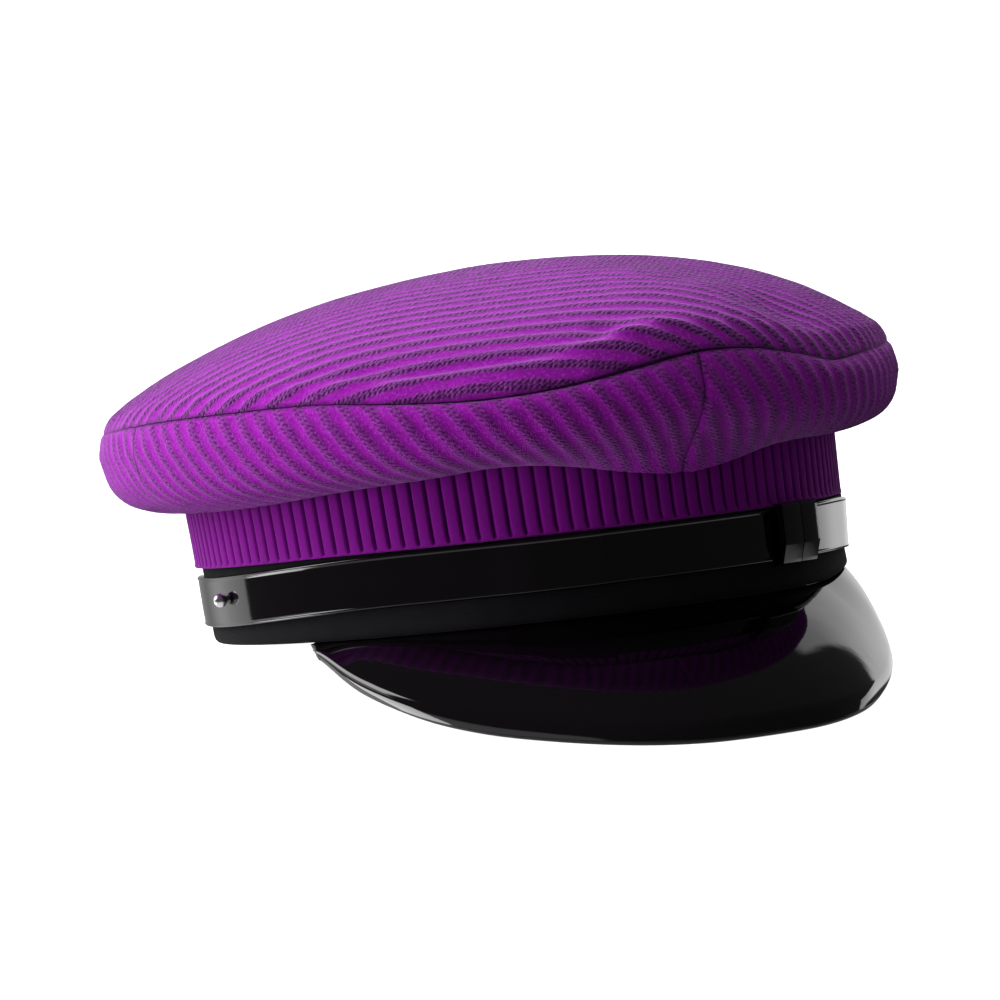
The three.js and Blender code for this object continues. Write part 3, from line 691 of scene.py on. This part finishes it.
# The studs
# A polished ball on a short neck goes through a slit near each end of the strap.
stud = {"angle": 88.8, "above": 0.6, "ball": 1.95, "neck": 1.2, "neck_length": 0.1, "root": 1.1}
chrome, shader, flow = finish_of("polished_stud", {"Metallic": 1.0, "Base Color": (0.86, 0.85, 0.87, 1)})
at = flow.node("ShaderNodeTexCoord", output="Object")
wear = flow.node("ShaderNodeTexNoise", {}, {"Vector": at, "Scale": 700.0, "Detail": 3.0})
feed(shader, Roughness=0.2 + wear * 0.2)
for name, side in (("stud_right", -1), ("stud_left", 1)):
    angle = side * stud["angle"]
    joint = math.asin(stud["neck"] / stud["ball"])
    centre = stud["neck_length"] + stud["ball"] * math.cos(joint)
    polar = np.linspace(math.pi - joint, 0.001, 22)
    neck = [(0.02, -stud["root"]), (stud["neck"], -stud["root"]), (stud["neck"], 0.0),
            (stud["neck"], stud["neck_length"])]
    ball = [(stud["ball"] * math.sin(t), centre + stud["ball"] * math.cos(t)) for t in polar]
    profile = np.array(neck + ball)
    off_strap = 2 * strap["gap"] + strap["thickness"] + 0.02
    seat = band_point(angle, off_strap, strap_height(angle) + stud["above"])
    outward = np.array([seat[0] / band["side"] ** 2, seat[1] / band["front"] ** 2, 0])
    outward /= np.linalg.norm(outward)
    beside = np.cross(outward, (0, 0, 1))
    spin = np.linspace(0, 2 * math.pi, 33)[:-1, None, None]
    ring = np.cos(spin) * beside + np.sin(spin) * np.array((0, 0, 1.0))
    sections = seat + profile[None, :, 1:2] * outward + profile[None, :, 0:1] * ring
    piece(f"{name}_ball", swept(f"{name}_ball", sections, True), "polished_metal", name, materials=[chrome])

# The peak
# A stiff peak of patent leather, lined below with matt black leather, is sewn up inside the front
# of the band. It falls forwards in one curve, and a narrow leather binding closes its free edge.
peak = {"end": 68, "thickness": 1.8, "bulge": 2.2, "tuck": 4, "gap": 0.35, "roll": 4.5, "roll_height": 2.6}
binding = {"radius": 0.9, "gap": 0.3}
peak_outline = {"angle": (0, 10, 20, 30, 40, 50, 58, 66),
                "x": (0, 17.5, 32.8, 46.2, 60, 70.5, 77, 80.4),
                "y": (-145, -142.2, -133.2, -118.2, -98.8, -79, -60, -43),
                "z": (-32, -31.8, -30.7, -28.7, -25.2, -19.8, -13, -4.4)}


def peak_edge(share):
    """The free edge's points from the right end, -1, to the left end, 1, with the directions into
    the leather and square to it."""
    both = {key: [sign * value for value in values[:0:-1]] + list(values)
            for (key, values), sign in zip(peak_outline.items(), (-1, -1, 1, 1))}

    def outline(at):
        return np.stack([curve_through(both, "angle", at * peak["end"], axis) for axis in "xyz"], -1)
    edge = outline(share)
    along = outline(np.minimum(share + 0.01, 1)) - outline(np.maximum(share - 0.01, -1))
    along /= np.maximum(np.linalg.norm(along, axis=-1, keepdims=True), 1e-9)
    inward = band_point(share * peak["end"], 0, 0.0) - edge
    inward -= along * (inward * along).sum(-1, keepdims=True)
    inward /= np.linalg.norm(inward, axis=-1, keepdims=True)
    up = np.cross(along, inward)
    return edge, inward, up / np.maximum(np.linalg.norm(up, axis=-1, keepdims=True), 1e-9)


def peak_point(share, across):
    """A point of the peak's upper face, from the band, 0, across to its rim, 1, which curls under."""
    edge, inward, up = peak_edge(share)
    root = band_point(share * peak["end"], -band["roll"], -peak["gap"] - 0.1)
    outward = root * np.array([1, 0.6, 0]) + np.array([0, 0, 70])
    outward /= np.linalg.norm(outward, axis=-1, keepdims=True)
    fade = np.where(share > 0, 1 - share**4, (1 - share**2) ** 2)
    bulge = peak["bulge"] * np.sin(math.pi * across) * fade
    rim = edge + inward * binding["gap"]
    to_rim = np.linalg.norm(rim - root, axis=-1) * (1 - across)
    rolled = peak["roll_height"] * (1 - (1 - np.minimum(to_rim / peak["roll"], 1)) ** 2) * across
    rolled = rolled * (1 - 0.8 * smooth(0.3, 0.7, share))
    return (root * (1 - across[..., None]) + rim * across[..., None] + outward * bulge[..., None]
            + up * rolled[..., None])


shares = np.linspace(-1, 1, 241)
across = np.r_[np.linspace(0, 0.86, 25), np.linspace(0.88, 1, 13)]
share, along = np.meshgrid(shares, across, indexing="ij")
inside = -band["thickness"] - peak["gap"]
tucked = np.stack([band_point(shares * peak["end"], inside, height)
                   for height in (peak["tuck"], 2.0, 0.6, -peak["gap"] + 0.2)], 1)
upper = np.concatenate([tucked, peak_point(share, along)], 1)
normals = grid_normals(upper)
if normals[len(shares) // 2, -4, 2] < 0:
    normals = -normals
lower = upper - normals * peak["thickness"]
sections = np.concatenate([upper, lower[:, ::-1]], 1)
peak_patent = patent("patent_leather_peak", 0.05)
lining, shader, flow = finish_of("peak_lining", {"Roughness": 0.65, "Specular IOR Level": 0.3})
at = flow.node("ShaderNodeTexCoord", output="Object")
pebble = flow.node("ShaderNodeTexVoronoi", {}, {"Vector": at, "Scale": 900.0})
feed(shader, Base_Color=pebble.mixed((0.012, 0.011, 0.012, 1), (0.03, 0.028, 0.03, 1)))
feed(shader, Normal=flow.node("ShaderNodeBump", {}, {"Strength": 0.5, "Distance": 0.0002, "Height": pebble}))
peak_mesh = swept("peak_leather", sections, False, inner_from=upper.shape[1])
piece("peak_leather", peak_mesh, "patent_leather", "visor", materials=[peak_patent, lining],
      smooth_angle=50)

edge, inward, up = peak_edge(np.linspace(-1, 1, 241))
centre = edge + inward * binding["radius"] - up * (peak["thickness"] / 2)
spin = np.linspace(0, 2 * math.pi, 17)[:-1][None, :, None]
sections = centre[:, None] + binding["radius"] * (np.cos(spin) * inward[:, None] + np.sin(spin) * up[:, None])
bound, shader, flow = finish_of("binding_leather", {"Roughness": 0.42, "Specular IOR Level": 0.3})
at = flow.node("ShaderNodeTexCoord", output="Object")
grain = flow.node("ShaderNodeTexNoise", {}, {"Vector": at, "Scale": 500.0, "Detail": 3.0})
feed(shader, Base_Color=grain.mixed((0.012, 0.011, 0.012, 1), (0.03, 0.028, 0.03, 1)))
feed(shader, Normal=flow.node("ShaderNodeBump", {}, {"Strength": 0.3, "Distance": 0.0002, "Height": grain}))
piece("binding_leather", swept("binding_leather", sections, False), "binding", "visor_binding",
      materials=[bound])

# The floor, the light and the camera
# A pale floor and a white studio, with the light from the wearer's right and behind. The camera
# stands in front of the cap to the wearer's right, a little over a metre away.
floor_half = 9
corners = [(x * floor_half, y * floor_half, 0) for x, y in ((-1, -1), (1, -1), (1, 1), (-1, 1))]
floor_mesh = bpy.data.meshes.new("floor")
floor_mesh.from_pydata(corners, [], [(0, 1, 2, 3)])
floor = bpy.data.objects.new("floor", floor_mesh)
bpy.context.scene.collection.objects.link(floor)
pale, shader, flow = finish_of("pale_floor", {"Base Color": (0.9, 0.9, 0.91, 1), "Roughness": 0.7})
floor_mesh.materials.append(pale)
floor.visible_diffuse = False
floor.visible_glossy = False
floor_only = bpy.data.collections.new("floor_only")
floor_only.objects.link(floor)

# What the leather mirrors, in degrees round from the back and up from the horizon: a wide backdrop
# of uneven brightness, the pale floor before it, and a bright box at the wearer's right.
backdrop = {"from": -36.0, "to": 50.5, "low_to": 80.0, "top": 37.0, "floor": -20.0, "floor_light": 0.75}
side_box = {"azimuth": -51.0, "half_width": 14.5, "top": 40, "bottom": -41, "dark_at": -9, "light": 6.5}
room_light = 0.06
world = bpy.data.worlds.new("studio")
bpy.context.scene.world = world
world.use_nodes = True
flow = Flow(world.node_tree)
toward = flow.node("ShaderNodeTexCoord", output="Generated")
azimuth = flow.maths("ARCTAN2", toward.part(0), toward.part(1)) * (180 / math.pi)
height = toward.part(2)


def sine(degrees):
    return math.sin(math.radians(degrees))


def above(start, end):
    """A mask that eases from 0 at one height above the horizon to 1 at the next, in degrees."""
    return height.step(sine(start), sine(end))


off_level = height.maths("MAXIMUM", above(1, 8), 1 - above(-18, -13))
right_end = backdrop["low_to"] - (backdrop["low_to"] - backdrop["to"]) * off_level
panel = azimuth.step(backdrop["from"] - 1, backdrop["from"] + 1) * (1 - (azimuth - right_end).step(-1, 1))
panel = panel * (1 - above(backdrop["top"] - 2, backdrop["top"] + 2))
white = 0.35 + 0.8 * (1 - azimuth.step(-18, 0)) + 0.75 * azimuth.step(20, 42) + 0.55 * azimuth.step(44, 62)
panel = panel * white * (1 - 0.4 * above(6, 32))
panel = panel * (1 - azimuth.step(25, 34) * (1 - above(-11, -9)))
floor_part = (1 - above(backdrop["floor"] - 3, backdrop["floor"] + 3)) * backdrop["floor_light"]
panel = panel.maths("MAXIMUM", panel, floor_part)
off_middle = abs(azimuth - side_box["azimuth"])
box = 1 - off_middle.step(side_box["half_width"] - 1.5, side_box["half_width"] + 1.5)
box = box * (1 - above(side_box["top"] - 2, side_box["top"] + 2)) * side_box["light"]
box = box * abs(height - sine(side_box["dark_at"])).step(0.1, 0.13)
box = box * above(side_box["bottom"] - 3, side_box["bottom"] + 3)
box = box * (1 - 0.8 * above(-7, -4) * (1 - above(13, 17)))
mirrored = panel.maths("MAXIMUM", panel, box + room_light)

# What lights the cloth: wide soft lamps round the cap. The camera itself sees plain white.
soft_lamps = {"azimuth": (-90, -45, 0, 45, 135, -45, 0, 45, -135), "height": (0, 0, 0, 0, 0, 40, 40, 40, -45),
              "strength": (2.6, 2.3, 2.35, 0.95, 0.36, 2.15, 2.1, 1.3, 0.25)}
lamp_focus = 6
spread = 0.0
for angle, tilt, strength in zip(*soft_lamps.values()):
    level_aim = Vector((0, math.cos(math.radians(tilt)), sine(tilt)))
    aim = Matrix.Rotation(-math.radians(angle), 3, "Z") @ level_aim
    toward_lamp = flow.node("ShaderNodeVectorMath", {"operation": "DOT_PRODUCT"}, {0: toward, 1: aim},
                            "Value")
    spread = toward_lamp.maths("MAXIMUM", toward_lamp, 0.0) ** lamp_focus * strength + spread
is_diffuse = flow.node("ShaderNodeLightPath", output="Is Diffuse Ray")
is_camera = flow.node("ShaderNodeLightPath", output="Is Camera Ray")
studio = mirrored * (1 - is_diffuse) + spread * is_diffuse
background = world.node_tree.nodes["Background"]
background.inputs["Color"].default_value = (1, 1, 1, 1)
world.node_tree.links.new((studio * (1 - is_camera) + is_camera).socket, background.inputs["Strength"])

sun = bpy.data.objects.new("floor_light", bpy.data.lights.new("floor_light", "SUN"))
bpy.context.scene.collection.objects.link(sun)
sun.data.energy = 3.6
sun.data.use_shadow = False
sun.light_linking.receiver_collection = floor_only
bpy.context.scene.view_settings.view_transform = "Standard"

# The camera's place and directions are in the cap's own frame, square to the band. They and the
# lens come from fitting the cap's measured points, in a picture of this many pixels across.
picture_width, focal_length = 1000, 4511.7
camera_place = Vector((-502.10548, -1161.09561, 55.88466)) / 1000
forward = Vector((0.39356, 0.91908, -0.01984))
right = Vector((0.90996, -0.39895, -0.11317))
right = (right - forward * right.dot(forward)).normalized()
up = right.cross(forward)
axes = Matrix((right, up, -forward)).transposed()
camera_data = bpy.data.cameras.new("camera")
camera_data.sensor_width = 36
camera_data.lens = focal_length / picture_width * camera_data.sensor_width
camera = bpy.data.objects.new("camera", camera_data)
bpy.context.scene.collection.objects.link(camera)
camera.matrix_world = stand @ Matrix.Translation(camera_place) @ axes.to_4x4()
bpy.context.scene.camera = camera
